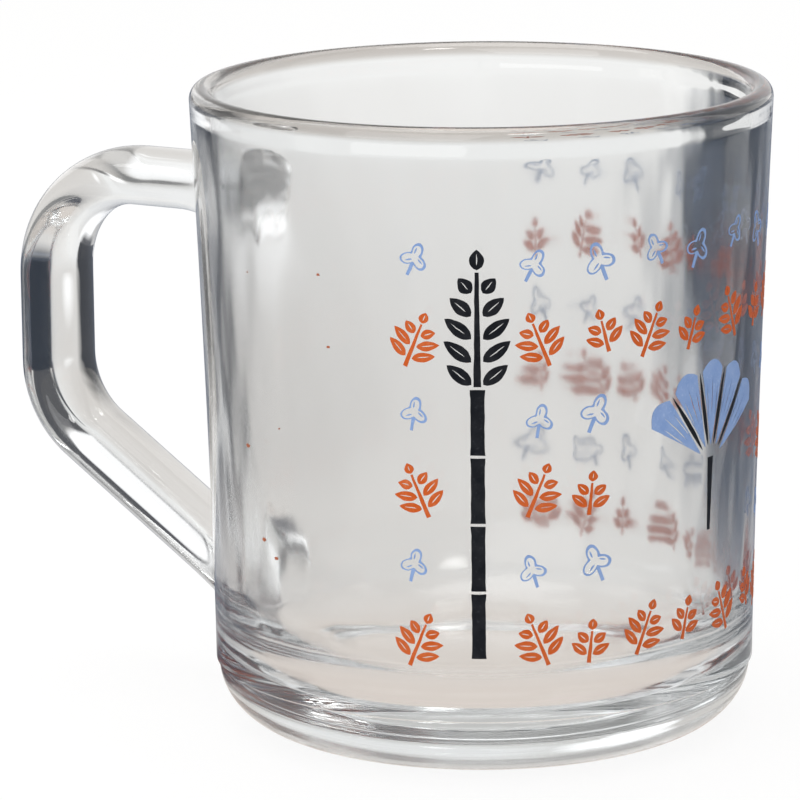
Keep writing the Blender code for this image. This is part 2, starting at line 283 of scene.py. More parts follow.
def swept_handle():
    """The loop handle as a closed solid whose two roots end inside the wall."""
    grip_x = handle_low.x - AXIS_X + HANDLE_THICKNESS / 2
    top_wall = Vector((-wall_radius(TOP_ARM_HEIGHT), 0, TOP_ARM_HEIGHT))
    low_wall = Vector((-wall_radius(LOW_ROOT_HEIGHT), 0, LOW_ROOT_HEIGHT))
    top_corner = Vector((grip_x, 0, TOP_ARM_HEIGHT))
    low_corner = Vector((grip_x, 0, TOP_ARM_HEIGHT - GRIP_LENGTH))
    outward = (top_corner - top_wall).normalized()
    inward = (low_wall - low_corner).normalized()
    top_bend = bend(top_wall, top_corner, low_corner, TOP_BEND_RADIUS, TOP_BEND_STEPS)
    low_bend = bend(top_corner, low_corner, low_wall, LOW_BEND_RADIUS, LOW_BEND_STEPS)
    line = [(top_wall + outward * ROOT_LENGTH, outward)]
    line += straight(line[0][0], top_bend[0][0], TOP_ARM_STEPS) + top_bend
    line += straight(top_bend[-1][0], low_bend[0][0], GRIP_STEPS) + low_bend
    low_start = low_wall - inward * ROOT_LENGTH
    line += straight(low_bend[-1][0], low_start, LOW_ARM_STEPS) + [(low_start, inward)]
    top_rings, top_middle = root_rings(*line[0], -outward)
    low_rings, low_middle = root_rings(*line[-1], inward)
    rings = top_rings[::-1] + [section(centre, direction) for centre, direction in line] + low_rings
    shift = Vector((AXIS_X, 0, 0))
    bm = bmesh.new()
    loops = [[bm.verts.new(point + shift) for point in ring] for ring in rings]
    for first, second in zip(loops, loops[1:]):
        for i in range(SECTION_POINTS):
            j = (i + 1) % SECTION_POINTS
            bm.faces.new((first[i], first[j], second[j], second[i]))
    for loop, middle in ((loops[0], top_middle), (loops[-1], low_middle)):
        hub = bm.verts.new(middle + shift)
        for i in range(SECTION_POINTS):
            bm.faces.new((loop[i], loop[(i + 1) % SECTION_POINTS], hub))
    return bm


def add_object(name, bm):
    """An object of the scene from a bmesh with its faces turned outwards."""
    bmesh.ops.recalc_face_normals(bm, faces=bm.faces)
    mesh = bpy.data.meshes.new(name)
    bm.to_mesh(mesh)
    bm.free()
    made = bpy.data.objects.new(name, mesh)
    bpy.context.scene.collection.objects.link(made)
    return made


def join_glass():
    """Bowl and handle as one skin of glass, with no wall left between them."""
    bowl = add_object("bowl_blank", turned_bowl())
    handle = add_object("handle_blank", swept_handle())
    join = bowl.modifiers.new("join", "BOOLEAN")
    join.operation = "UNION"
    join.object = handle
    seen = bowl.evaluated_get(bpy.context.evaluated_depsgraph_get())
    mesh = bpy.data.meshes.new_from_object(seen)
    for blank in (bowl, handle):
        bpy.data.objects.remove(blank)
    made = bpy.data.objects.new("glass_body", mesh)
    bpy.context.scene.collection.objects.link(made)
    mesh.shade_smooth()
    mesh.set_sharp_from_angle(angle=SHARP_EDGE)
    return made


class Shade:
    """A value, colour or vector in a material. Arithmetic on values adds Math nodes."""

    def __init__(self, tree, socket=None):
        self.tree = tree
        self.socket = socket

    def node(self, kind, settings=None, sockets=None, give=0):
        """Adds a node, its settings first, then its sockets' values or links, and gives one output."""
        made = self.tree.nodes.new(kind)
        for name, value in (settings or {}).items():
            setattr(made, name, value)
        for name, value in (sockets or {}).items():
            if isinstance(value, Shade):
                self.tree.links.new(value.socket, made.inputs[name])
            else:
                made.inputs[name].default_value = value
        return Shade(self.tree, made.outputs[give] if made.outputs else None)

    def maths(self, operation, first, second):
        """One Math node on two values."""
        return self.node("ShaderNodeMath", {"operation": operation}, {0: first, 1: second})

    def __add__(self, other):
        return self.maths("ADD", self, other)

    def __sub__(self, other):
        return self.maths("SUBTRACT", self, other)

    def __rsub__(self, other):
        return self.maths("SUBTRACT", other, self)

    def __mul__(self, other):
        return self.maths("MULTIPLY", self, other)

    __radd__ = __add__
    __rmul__ = __mul__

    def at_most(self, other):
        """The smaller of two values."""
        return self.maths("MINIMUM", self, other)

    def at_least(self, other):
        """The larger of two values."""
        return self.maths("MAXIMUM", self, other)

    def between(self, low, high):
        """0 below low, 1 above high and an even rise from one to the other."""
        return self.node("ShaderNodeMapRange", {}, {"Value": self, "From Min": low, "From Max": high})

    def tint(self, low, high):
        """The colour low where this value is 0, high where it is 1."""
        return self.node("ShaderNodeMix", {"data_type": "RGBA"}, {0: self, 6: low, 7: high}, give=2)

    def grain(self, place, scale, detail):
        """Cloudy noise over a place, its scale in clouds to the metre."""
        return self.node("ShaderNodeTexNoise", {}, {"Vector": place, "Scale": scale, "Detail": detail})

    def vector(self, operation, *values, give=0):
        """One Vector Math node on vectors."""
        return self.node("ShaderNodeVectorMath", {"operation": operation}, dict(enumerate(values)), give)


def blank_tree(tree):
    """A material's or the world's nodes, emptied to be built up again."""
    tree.nodes.clear()
    return Shade(tree)


GLASS_SKIN = (0.985, 0.990, 0.990, 1)
GLASS_DEPTH = (0.905, 0.915, 0.920, 1)
GLASS_DENSITY = 30.0
GLASS_IOR = 1.52
# Painted shade: a grey-brown tint on the rim's round, in place of the darker view that the round bends in
RIM_PAINTED_SHADE = (0.700, 0.665, 0.635, 1)
# Where the handle's side ends and its roots begin, in shares of the rim's radius left of the axis
BOWL_SIDE = (0.90, 0.60)
ROOT_SIDE = (1.18, 1.08)
SWIRL_CLOUDS = 140
SWIRL_DRAW = 0.18
SKIN_CLOUDS = 420
SKIN_SHARE = 0.03
SKIN_RELIEF = 0.00006
WIPED_CLOUDS = 60
WIPED_BLUR = 0.03
WIPED_EDGE = (0.45, 0.75)
PLUNGER_BLUR = 0.095
PLUNGER_EDGE = 0.0002
PLUNGER_FOOT = (0.80, 0.95)
PLUNGER_HEAD = (0.001, 0.004)
RIM_EDGE = (0.2, 0.3)
HANDLE_BLUR = 0.05
ROOT_BLUR = 0.07


def clear_glass():
    """Clear glass with a cool depth and a fire-polished skin, softer on the plunger's side and the handle."""
    material = bpy.data.materials.new("clear_glass")
    material.use_nodes = True
    shade = blank_tree(material.node_tree)
    place = shade.node("ShaderNodeTexCoord", give="Object")
    height = shade.node("ShaderNodeSeparateXYZ", {}, {0: place}, give="Z")
    across = shade.node("ShaderNodeSeparateXYZ", {}, {0: place}, give="X")
    bowl_only = across.between(*(AXIS_X - RIM_RADIUS * share for share in BOWL_SIDE))
    near_root = across.between(*(AXIS_X - RIM_RADIUS * share for share in ROOT_SIDE))
    drawn = shade.node("ShaderNodeMapping", {}, {"Vector": place, "Scale": (1, 1, SWIRL_DRAW)})
    swirl = shade.grain(drawn, SWIRL_CLOUDS, 2) * bowl_only
    skin = shade.grain(place, SKIN_CLOUDS, 3)
    wiped = shade.grain(place, WIPED_CLOUDS, 4).between(*WIPED_EDGE)
    centred = shade.vector("SUBTRACT", place, (AXIS_X, 0, 0))
    radius = shade.vector("LENGTH", shade.vector("MULTIPLY", centred, (1, 1, 0)), give="Value")
    foot, top = wall_radius(FLOOR_HEIGHT) - RIM_WALL / 2, wall_radius(SHOULDER) - RIM_WALL / 2
    wall_middle = height.between(FLOOR_HEIGHT, SHOULDER) * (top - foot) + foot
    plunger_face = radius.between(wall_middle + PLUNGER_EDGE, wall_middle - PLUNGER_EDGE)
    over_floor = height.between(*(FLOOR_HEIGHT * share for share in PLUNGER_FOOT))
    under_rim = height.between(*(SHOULDER - drop for drop in PLUNGER_HEAD))
    plunger_face = plunger_face * over_floor * bowl_only * under_rim
    # Painted shade: the rim's round takes the grey-brown tint
    rim = height.between(SHOULDER - RIM_ROUND * RIM_EDGE[0], SHOULDER + RIM_ROUND * RIM_EDGE[1])
    handle_blur = (1 - bowl_only) * (near_root * ROOT_BLUR + HANDLE_BLUR)
    relief = swirl + skin * SKIN_SHARE
    bump = shade.node("ShaderNodeBump", {}, {"Strength": 1.0, "Distance": SKIN_RELIEF, "Height": relief})
    surface = shade.node(
        "ShaderNodeBsdfPrincipled",
        {},
        {
            "Base Color": rim.tint(GLASS_SKIN, RIM_PAINTED_SHADE),
            "Roughness": plunger_face * PLUNGER_BLUR + wiped * WIPED_BLUR + handle_blur,
            "IOR": GLASS_IOR,
            "Transmission Weight": 1.0,
            "Normal": bump,
        },
    )
    depth = shade.node("ShaderNodeVolumeAbsorption", {}, {"Color": GLASS_DEPTH, "Density": GLASS_DENSITY})
    shade.node("ShaderNodeOutputMaterial", {}, {"Surface": surface, "Volume": depth})
    return material


glass_body = join_glass()
glass_body.data.materials.clear()
glass_body.data.materials.append(clear_glass())
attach(glass_body, "root")
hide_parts("bowl", "handle")

# Orange leaves: the first colour of a screen print in glass enamel, fired on the outside of the wall.
# Each leaf is a stem with pairs of lens-shaped leaflets whose middle vein is left bare.
# The layer is thin and hand-pulled, so its edge is a little ragged. Its back, seen through the glass, is
# painted
# paler: painted light standing in for light that shines through the thin layer.
PRINT_CELL = 0.0011
PRINT_PROUD = 0.00004
PRINT_SUNK = 0.00006
EDGE_WOBBLE = 0.00006
EDGE_GRAIN = 1500
EDGE_SEED = 4
PRINT_START = math.radians(-74)
PRINT_COLUMNS = 16
COLUMN_STEP = math.radians(12)
PRINT_ROWS = 3
PRINT_FOOT = 0.0205
PRINT_HEAD = 0.0180
ROW_STEP = (HEIGHT - PRINT_HEAD - PRINT_FOOT) / (PRINT_ROWS - 0.5)
MOTIF_TILT = math.radians(22)
LEAF_STALK = 0.0012
LEAF_BLADE = 0.0050
LEAF_SPREAD = 0.0068
LEAF_STEM = 0.0006
LEAF_PAIRS = 3
LEAF_FULLNESS = 0.80
LEAFLET_FOOT = 0.10
LEAFLET_ASIDE = 0.75
LEAFLET_STEPS = 12
OVAL_LEAN = 0.85
OVAL_FULL = 0.8
TAPER_START = 0.3
TAPER_RUN = 0.6
VEIN_WIDTH = 0.00014
VEIN_START = 0.22
VEIN_END = 0.80
VEIN_STEPS = 5
NODE_REACH = LEAF_STEM * 5
ENAMEL_CLOUDS = 500
ENAMEL_SPOTS = 2600
ENAMEL_GRAIN = 1800
ENAMEL_RELIEF = 0.00003
ENAMEL_BUMP = 0.6
ENAMEL_IOR = 1.5
ENAMEL_SHINE = 0.2
CLOUD_EDGE = (0.35, 0.70)
SPOT_EDGE = (0.60, 0.72)
CLOUD_WEAR = 0.30
SPOT_WEAR = 0.55
CLOUD_DULL = 0.15
FRONT_DULL = 0.35
BACK_DULL = 0.45
ORANGE = (0.510, 0.085, 0.008, 1)
ORANGE_WORN = (0.580, 0.170, 0.065, 1)
# Painted light: the back's paler colours stand in for light shining through the thin layer
ORANGE_BACK_PAINTED_LIGHT = (0.900, 0.250, 0.160, 1)
ORANGE_BACK_WORN_PAINTED_LIGHT = (0.900, 0.420, 0.330, 1)


def fired_enamel(name, full, worn, dull):
    """Fired enamel: opaque colour that thins out in small spots, with a grainy half gloss."""
    material = bpy.data.materials.new(name)
    material.use_nodes = True
    shade = blank_tree(material.node_tree)
    place = shade.node("ShaderNodeTexCoord", give="Object")
    cloud = shade.grain(place, ENAMEL_CLOUDS, 3).between(*CLOUD_EDGE)
    spots = shade.grain(place, ENAMEL_SPOTS, 2).between(*SPOT_EDGE)
    grain = shade.grain(place, ENAMEL_GRAIN, 2)
    relief = {"Strength": ENAMEL_BUMP, "Distance": ENAMEL_RELIEF, "Height": grain}
    surface = shade.node(
        "ShaderNodeBsdfPrincipled",
        {},
        {
            "Base Color": (cloud * CLOUD_WEAR + spots * SPOT_WEAR).tint(full, worn),
            "Roughness": dull + cloud * CLOUD_DULL,
            "IOR": ENAMEL_IOR,
            "Specular IOR Level": ENAMEL_SHINE,
            "Normal": shade.node("ShaderNodeBump", {}, relief),
        },
    )
    shade.node("ShaderNodeOutputMaterial", {}, {"Surface": surface})
    return material


def flat_sheet(shapes):
    """Outlines with holes as flat faces, small enough to bend round the wall."""
    bm = bmesh.new()
    for loops in shapes:
        flat = [[Vector((u, v, 0)) for u, v in loop] for loop in loops]
        corners = [bm.verts.new(point) for loop in flat for point in loop]
        for triangle in tessellate_polygon(flat):
            bm.faces.new([corners[i] for i in triangle])
    long_edges = [edge for edge in bm.edges if edge.calc_length() > PRINT_CELL]
    while long_edges:
        bmesh.ops.subdivide_edges(bm, edges=long_edges, cuts=1)
        bmesh.ops.triangulate(bm, faces=bm.faces)
        long_edges = [edge for edge in bm.edges if edge.calc_length() > PRINT_CELL]
    return bm


def bonded(name, shapes, angle, z, tilt, front, back, slot, *nodes):
    """Lays flat outlines on the wall as one fired layer with a ragged edge, half sunk in the glass."""
    sheet = flat_sheet(shapes)
    lean = Matrix.Rotation(tilt, 3, "Z")
    bm = bmesh.new()
    layers = []
    for lift in (PRINT_PROUD, -PRINT_SUNK):
        layer = {}
        for vert in sheet.verts:
            start = Vector((angle * RIM_RADIUS, z, 0)) + vert.co
            ragged = vert.co + noise.noise_vector(start * EDGE_GRAIN) * EDGE_WOBBLE
            u, v, _ = lean @ ragged
            turn = angle + u / wall_radius(z)
            radius = wall_radius(z + v) + lift
            spot = (AXIS_X + radius * math.cos(turn), radius * math.sin(turn), z + v)
            layer[vert] = bm.verts.new(spot)
        layers.append(layer)
    outer, inner = layers
    for face in sheet.faces:
        bm.faces.new([outer[vert] for vert in face.verts])
        # The back faces take the back material, whose paler colour is painted light shining through the layer
        under = bm.faces.new([inner[vert] for vert in reversed(face.verts)])
        under.material_index = 1
    for edge in sheet.edges:
        if edge.is_boundary:
            a, b = edge.verts
            bm.faces.new((outer[a], outer[b], inner[b], inner[a]))
    sheet.free()
    piece = add_object(name, bm)
    piece.data.materials.append(front)
    piece.data.materials.append(back)
    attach(piece, "root")
    if nodes:
        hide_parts(*nodes)


def lens(root, tip, width, steps):
    """A pointed oval from root to tip, fullest a little before its middle."""
    root, tip = Vector(root), Vector(tip)
    aside = (tip - root).orthogonal().normalized() * width / 2
    sides = ([], [])
    for i in range(1, steps):
        share = i / steps
        swell = math.sin(math.pi * share**OVAL_LEAN) ** OVAL_FULL
        for side, sign in zip(sides, (1, -1)):
            side.append(tuple(root.lerp(tip, share) + aside * sign * swell))
    return [tuple(root)] + sides[0] + [tuple(tip)] + sides[1][::-1]


def veined(root, tip, width):
    """A leaflet with its middle vein left bare."""
    root, tip = Vector(root), Vector(tip)
    vein = lens(root.lerp(tip, VEIN_START), root.lerp(tip, VEIN_END), VEIN_WIDTH, VEIN_STEPS)
    return [lens(root, tip, width, LEAFLET_STEPS), vein]


def pinnate(stalk, blade, spread, stem, pairs, fullness):
    """A stem with pairs of slanted leaflets and one at its tip."""
    pitch = blade / pairs
    end = stalk + blade
    shapes = [[[(-stem / 2, 0.0), (stem / 2, 0.0), (stem / 4, end), (-stem / 4, end)]]]
    for pair in range(pairs):
        share = pair + 0.5
        taper = math.sin(math.pi * (TAPER_START + TAPER_RUN * share / pairs))
        reach = stem / 2 + (spread - stem) / 2 * taper
        low, high = stalk + pitch * (pair + LEAFLET_FOOT), stalk + pitch * (share + taper / 2)
        for side in (1, -1):
            shapes.append(veined((side * stem * LEAFLET_ASIDE, low), (side * reach, high), pitch * fullness))
    shapes.append(veined((0.0, end + pitch * LEAFLET_FOOT), (0.0, end + pitch), pitch * fullness))
    return shapes


def node_at(kind, angle, z):
    """The CAD node of a kind whose middle lies at a place of the wall, or None."""
    spot = Vector((AXIS_X + wall_radius(z) * math.cos(angle), wall_radius(z) * math.sin(angle), z))
    for name in sorted(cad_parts):
        low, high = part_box(name)
        if name.startswith(kind) and ((low + high) / 2 - spot).length < NODE_REACH:
            return name
    return None


def small_places(odd):
    """The angle, height and lean of every other column's motifs, each column dropped half a row."""
    for column in range(odd, PRINT_COLUMNS, 2):
        for row in range(PRINT_ROWS):
            lean = MOTIF_TILT if (column // 2 + row) % 2 else -MOTIF_TILT
            yield PRINT_START + COLUMN_STEP * column, PRINT_FOOT + ROW_STEP * (row + odd / 2), lean


noise.seed_set(EDGE_SEED)
orange = fired_enamel("orange_enamel", ORANGE, ORANGE_WORN, FRONT_DULL)
orange_back_painted_light = fired_enamel("orange_enamel_back", ORANGE_BACK_PAINTED_LIGHT, ORANGE_BACK_WORN_PAINTED_LIGHT, BACK_DULL)
leaf_length = LEAF_STALK + LEAF_BLADE * (1 + 1 / LEAF_PAIRS)
leaf = pinnate(LEAF_STALK, LEAF_BLADE, LEAF_SPREAD, LEAF_STEM, LEAF_PAIRS, LEAF_FULLNESS)
leaf = [[[(u, v - leaf_length / 2) for u, v in loop] for loop in loops] for loops in leaf]
for angle, z, lean in small_places(0):
    node = node_at("leaf", angle, z)
    if node:
        bonded("enamel_" + node, leaf, angle, z, lean, orange, orange_back_painted_light, "orange_enamel", node)

# Blue clovers: the second colour of the print, in the same kind of enamel and fired on with the orange.
# A pale blue line is drawn round three lobes on a short stalk. It swells and thins like a pen's,
# and a short stroke shades each lobe.
CLOVER_RADIUS = 0.0024
CLOVER_WAIST = 0.0011
CLOVER_STALK = 0.0020
CLOVER_LINE = 0.0005
CLOVER_INSET = CLOVER_LINE * 0.78
CLOVER_LOBES = 3
CLOVER_STEPS = 54
PEN_SWELL = 0.30
PEN_SIDE = 0.6
STROKE_WIDTH = 0.00024
STROKE_FOOT = 0.45
STROKE_HEAD = 1.6
STROKE_ASIDE = (0.50, 0.55)
STROKE_STEPS = 8
BLUE = (0.190, 0.300, 0.560, 1)
BLUE_WORN = (0.340, 0.440, 0.660, 1)
# Painted light: the back's paler colours stand in for light shining through the thin layer
BLUE_BACK_PAINTED_LIGHT = (0.480, 0.600, 0.860, 1)
BLUE_BACK_WORN_PAINTED_LIGHT = (0.620, 0.700, 0.880, 1)


def clover_edge(inset, swell, start, sweep, steps):
    """Part of a three-lobed outline, drawn in by an inset that swells on one side."""
    middle, swing = (CLOVER_RADIUS + CLOVER_WAIST) / 2, (CLOVER_RADIUS - CLOVER_WAIST) / 2
    points = []
    for i in range(steps + 1):
        angle = start + sweep * i / steps
        drawn_in = inset * (1 + swell * math.cos(angle - PEN_SIDE))
        radius = middle + swing * math.cos(CLOVER_LOBES * (angle - math.pi / 2)) - drawn_in
        points.append((radius * math.cos(angle), radius * math.sin(angle)))
    return points


def clover():
    """The lobed line with its stalk, and a short stroke in each lobe."""
    half = math.asin(CLOVER_LINE / 2 / CLOVER_WAIST)
    line = clover_edge(0.0, 0.0, -math.pi / 2 + half, 2 * (math.pi - half), CLOVER_STEPS)
    end = -CLOVER_WAIST - CLOVER_STALK
    space = clover_edge(CLOVER_INSET, PEN_SWELL, 0.0, 2 * math.pi, CLOVER_STEPS)[:-1]
    stalk = [(-CLOVER_LINE / 2, end), (CLOVER_LINE / 2, end)]
    shapes = [[line + stalk, space]]
    for lobe in range(CLOVER_LOBES):
        aim = math.pi / 2 + lobe * 2 * math.pi / CLOVER_LOBES
        ahead = Vector((math.cos(aim), math.sin(aim)))
        aside = ahead.orthogonal()
        root = ahead * CLOVER_WAIST * STROKE_FOOT + aside * CLOVER_LINE * STROKE_ASIDE[0]
        tip = ahead * (CLOVER_RADIUS - CLOVER_LINE * STROKE_HEAD) + aside * CLOVER_LINE * STROKE_ASIDE[1]
        shapes.append([lens(root, tip, STROKE_WIDTH, STROKE_STEPS)])
    return shapes


blue = fired_enamel("blue_enamel", BLUE, BLUE_WORN, FRONT_DULL)
blue_back_painted_light = fired_enamel("blue_enamel_back", BLUE_BACK_PAINTED_LIGHT, BLUE_BACK_WORN_PAINTED_LIGHT, BACK_DULL)
clover_shapes = clover()
for angle, z, lean in small_places(1):
    node = node_at("clover", angle, z)
    if node:
        bonded("enamel_" + node, clover_shapes, angle, z, lean, blue, blue_back_painted_light, "blue_enamel", node)

# Black reed: the last colour of the print, a glossier enamel fired on with the other two.
# A tall straight stem, broken by bare rings at its joints, carries an ear of paired grains.
REED_ANGLE = math.radians(-62)
REED_FOOT = 0.0180
REED_HEAD = 0.0160
REED_STEM = 0.0020
REED_EAR = 0.0155
REED_SPREAD = 0.0086
REED_PAIRS = 5
REED_FULLNESS = 0.62
REED_STALK = HEIGHT - REED_HEAD - REED_FOOT - REED_EAR * (1 + 1 / REED_PAIRS)
REED_JOINTS = 3
REED_RING = 0.0004
REED_WAIST = REED_STEM * 0.46
REED_WAIST_RUN = 0.0012
BLACK = (0.006, 0.007, 0.010, 1)
BLACK_WORN = (0.030, 0.032, 0.038, 1)
BLACK_DULL = 0.30
# Painted light: the back's paler colours stand in for light shining through the thin layer
BLACK_BACK_PAINTED_LIGHT = (0.045, 0.047, 0.052, 1)
BLACK_BACK_WORN_PAINTED_LIGHT = (0.090, 0.090, 0.100, 1)
BLACK_BACK_DULL = 0.40


def reed_shapes():
    """The ear of grains on a stem cut into lengths by bare rings."""
    shapes = pinnate(REED_STALK, REED_EAR, REED_SPREAD, REED_STEM / 2, REED_PAIRS, REED_FULLNESS)[1:]
    top, half, tip = REED_STALK + REED_EAR, REED_STEM / 4, REED_STEM / 8
    shapes.append([[(-half, REED_STALK), (half, REED_STALK), (tip, top), (-tip, top)]])
    length = REED_STALK / (REED_JOINTS + 1)
    foot = REED_STEM / 2
    for joint in range(REED_JOINTS + 1):
        low, high = length * joint, length * (joint + 1) - REED_RING
        waist_low, waist_high = low + REED_WAIST_RUN, high - REED_WAIST_RUN
        shapes.append([[
            (-foot, low), (foot, low), (REED_WAIST, waist_low), (REED_WAIST, waist_high),
            (foot, high), (-foot, high), (-REED_WAIST, waist_high), (-REED_WAIST, waist_low),
        ]])
    return shapes


black = fired_enamel("black_enamel", BLACK, BLACK_WORN, BLACK_DULL)
black_back_painted_light = fired_enamel("black_enamel_back", BLACK_BACK_PAINTED_LIGHT, BLACK_BACK_WORN_PAINTED_LIGHT, BLACK_BACK_DULL)
bonded("enamel_reed", reed_shapes(), REED_ANGLE, REED_FOOT, 0.0, black, black_back_painted_light, "black_enamel", "reed")

# Fan leaf: five blue enamel lobes on a black enamel stalk, with a black vein in each gap between them.
# Both colours were printed in turn, so a hair of bare glass stays between them.
FAN_ANGLE = math.radians(-8)
FAN_FOOT = 0.0320
FAN_STALK = 0.0090
FAN_RADIUS = 0.0135
FAN_HUB = 0.0024
FAN_SCALLOP = 0.0012
FAN_OPENING = math.radians(124)
FAN_LOBES = 5
FAN_VEIN = 0.0006
FAN_VEIN_SWELL = 1.1
FAN_VEIN_GAP = 0.0003
FAN_RAY_START = 0.50
FAN_RAY_ENDS = (0.86, 0.94, 0.86)
FAN_RAY_WIDTH = VEIN_WIDTH * 1.3
FAN_HUB_STEPS = 6
FAN_EDGE_STEPS = 18
FAN_RAY_STEPS = 6
FAN_VEIN_STEPS = 10


def fan_direction(share):
    """The direction of a place across the fan, from its left edge at 0 to its right edge at 1."""
    return math.pi / 2 + FAN_OPENING * (0.5 - share)


def fan_edge(radius, start, end, margin, steps):
    """A lobe's inner or outer edge: a scalloped arc that stays a margin clear of both its sides."""
    lean = math.copysign(math.asin(margin / radius), end - start)
    points = []
    for i in range(steps + 1):
        angle = start + lean + (end - start - 2 * lean) * i / steps
        reach = radius + FAN_SCALLOP * math.sin(math.pi * i / steps)
        points.append((reach * math.cos(angle), reach * math.sin(angle)))
    return points


def spoke(angle, near, far, width, steps):
    """A thin pointed stroke that runs out from the fan's hub."""
    ahead = Vector((math.cos(angle), math.sin(angle)))
    return lens(ahead * near, ahead * far, width, steps)


def fan_lobe(lobe):
    """A scalloped lobe with fine bare rays."""
    left, right = fan_direction(lobe / FAN_LOBES), fan_direction((lobe + 1) / FAN_LOBES)
    margin = FAN_VEIN / 2 + FAN_VEIN_GAP
    edge = fan_edge(FAN_HUB + FAN_VEIN, right, left, margin, FAN_HUB_STEPS)
    edge += fan_edge(FAN_RADIUS, left, right, margin, FAN_EDGE_STEPS)
    loops = [edge]
    for ray, end in enumerate(FAN_RAY_ENDS, 1):
        angle = left + (right - left) * ray / (len(FAN_RAY_ENDS) + 1)
        near, far = FAN_RADIUS * FAN_RAY_START, FAN_RADIUS * end
        loops.append(spoke(angle, near, far, FAN_RAY_WIDTH, FAN_RAY_STEPS))
    return [loops]


fan_place = (FAN_ANGLE, FAN_FOOT + FAN_STALK, 0.0)
for lobe in range(FAN_LOBES):
    node = f"fan_lobe_{lobe + 1}"
    bonded("enamel_" + node, fan_lobe(lobe), *fan_place, blue, blue_back_painted_light, "blue_enamel", node)
for vein in range(1, FAN_LOBES):
    node = f"fan_vein_{vein}"
    angle = fan_direction(vein / FAN_LOBES)
    ray = spoke(angle, FAN_HUB + FAN_VEIN, FAN_RADIUS, FAN_VEIN * FAN_VEIN_SWELL, FAN_VEIN_STEPS)
    bonded("enamel_" + node, [[ray]], *fan_place, black, black_back_painted_light, "black_enamel", node)
stalk = [(-FAN_VEIN / 2, -FAN_STALK), (FAN_VEIN / 2, -FAN_STALK)]
stalk += [(FAN_VEIN, FAN_HUB / 2), (-FAN_VEIN, FAN_HUB / 2)]
bonded("enamel_fan_stalk", [[stalk]], *fan_place, black, black_back_painted_light, "black_enamel", "fan_stalk")

# Sprigs and buds: small orange sprigs and blue buds that fill the gaps of the print, in the same enamels.
# The screen's registration drifts a little, so each sits slightly off its place and leans its own way.
SPRIG_STALK = 0.0010
SPRIG_BLADE = 0.0034
SPRIG_SPREAD = 0.0056
SPRIG_PAIRS = 2
BUD_SCALE = 0.85
SMALL_HALF = 0.0032
DRIFT = 0.0010
DRIFT_LEAN = math.radians(30)
PRINT_SEED = 4


def bare_wall(angle, z):
    """True where neither the reed nor the fan leaf lies in a small motif's place."""
    radius = wall_radius(z)
    fan_half = FAN_RADIUS * math.sin(FAN_OPENING / 2)
    fan_top = FAN_FOOT + FAN_STALK + FAN_RADIUS + FAN_SCALLOP
    if abs(angle - REED_ANGLE) * radius < REED_SPREAD / 2 + SMALL_HALF:
        return False
    if abs(angle - FAN_ANGLE) * radius > fan_half + SMALL_HALF:
        return True
    return not FAN_FOOT - SMALL_HALF < z < fan_top + SMALL_HALF


sprig = pinnate(SPRIG_STALK, SPRIG_BLADE, SPRIG_SPREAD, LEAF_STEM, SPRIG_PAIRS, LEAF_FULLNESS)
sprig_middle = (SPRIG_STALK + SPRIG_BLADE * (1 + 1 / SPRIG_PAIRS)) / 2
sprig = [[[(u, v - sprig_middle) for u, v in loop] for loop in loops] for loops in sprig]
bud = [[[(u * BUD_SCALE, v * BUD_SCALE) for u, v in loop] for loop in loops] for loops in clover_shapes]
chance = random.Random(PRINT_SEED)
for odd, kind, shapes, *finish in (
    (1, "sprig", sprig, orange, orange_back_painted_light, "orange_enamel"),
    (0, "bud", bud, blue, blue_back_painted_light, "blue_enamel"),
):
    number = 0
    for angle, z, _ in small_places(odd):
        z += ROW_STEP / 2 * (1 - 2 * odd)
        if bare_wall(angle, z):
            number += 1
            angle += chance.uniform(-DRIFT, DRIFT) / RIM_RADIUS
            z += chance.uniform(-DRIFT, DRIFT)
            lean = chance.uniform(-DRIFT_LEAN, DRIFT_LEAN)
            bonded(f"enamel_{kind}_{number:02d}", shapes, angle, z, lean, *finish)

# Stray flecks: crumbs of the orange enamel that the print screen dropped on the bare wall beside the leaves.
# They were fired on with the print, too thin to keep its colour, and came out brown.
FLECKS = 7
FLECK_SIZE = 0.00036
FLECK_SIZES = (0.5, 1.5)
FLECK_POINTS = 9
FLECK_WIDTHS = (0.6, 1)
FLECK_HEIGHTS = (0.3, 0.7)
FLECK_SPREAD = (0.08, 0.75)
FLECK_BAND = (0.026, 0.070)
BROWN = (0.360, 0.100, 0.045, 1)
BROWN_WORN = (0.480, 0.220, 0.140, 1)
brown = fired_enamel("brown_fleck", BROWN, BROWN_WORN, BACK_DULL)
for fleck in range(FLECKS):
    angle = PRINT_START - chance.uniform(*FLECK_SPREAD)
    z = chance.uniform(*FLECK_BAND)
    size = FLECK_SIZE * chance.uniform(*FLECK_SIZES)
    edge = []
    for i in range(FLECK_POINTS):
        turn = math.tau * i / FLECK_POINTS
        u = size * math.cos(turn) * chance.uniform(*FLECK_WIDTHS)
        v = size * math.sin(turn) * chance.uniform(*FLECK_HEIGHTS)
        edge.append((u, v))
    name = f"enamel_fleck_{fleck + 1}"
    # Its back takes the orange back colours, painted paler as light shining through the layer
    bonded(name, [[edge]], angle, z, 0.0, brown, orange_back_painted_light, "orange_enamel")

